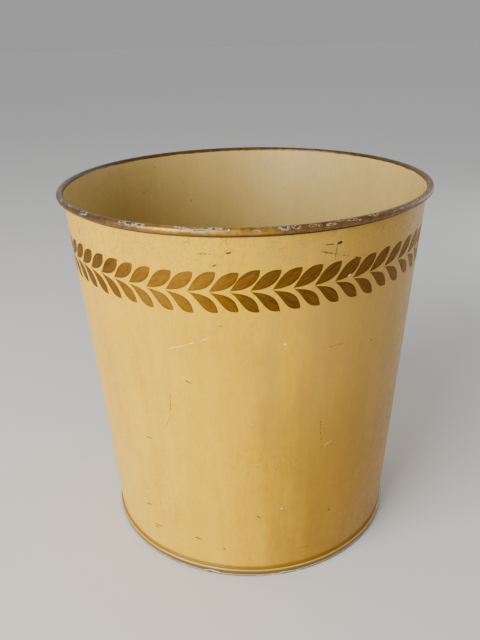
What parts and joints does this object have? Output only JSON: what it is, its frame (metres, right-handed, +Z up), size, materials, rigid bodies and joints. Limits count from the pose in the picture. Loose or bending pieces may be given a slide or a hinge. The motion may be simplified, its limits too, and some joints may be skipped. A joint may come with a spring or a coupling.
{
  "type": "wastebasket",
  "caption": "Round tapered sheet-metal wastebasket, open at the top, with a wired rim bead and a raised bottom held in a base seam.",
  "frame": {"origin": "centre of the ring that the basket stands on", "axes": "+Z up along the basket's axis, +Y to the back, where the lap seam is, -Y to the front"},
  "size_m": [0.305, 0.305, 0.309],
  "materials": {
    "yellow_paint": "aged satin paint, antiqued mustard yellow, with bronze-gold painted trim",
    "worn_yellow_paint": "the same yellow paint, worn through to primer and steel along the foot",
    "gilt_paint": "bronze-gold hand painting on the rim and the band of leaves, chipped on the rim",
    "bare_steel": "dull drawn wire"
  },
  "bodies": {
    "root": {"body_wall": "yellow_paint", "bottom_pan": "worn_yellow_paint", "rim_wire": "bare_steel"}
  },
  "joints": []
}
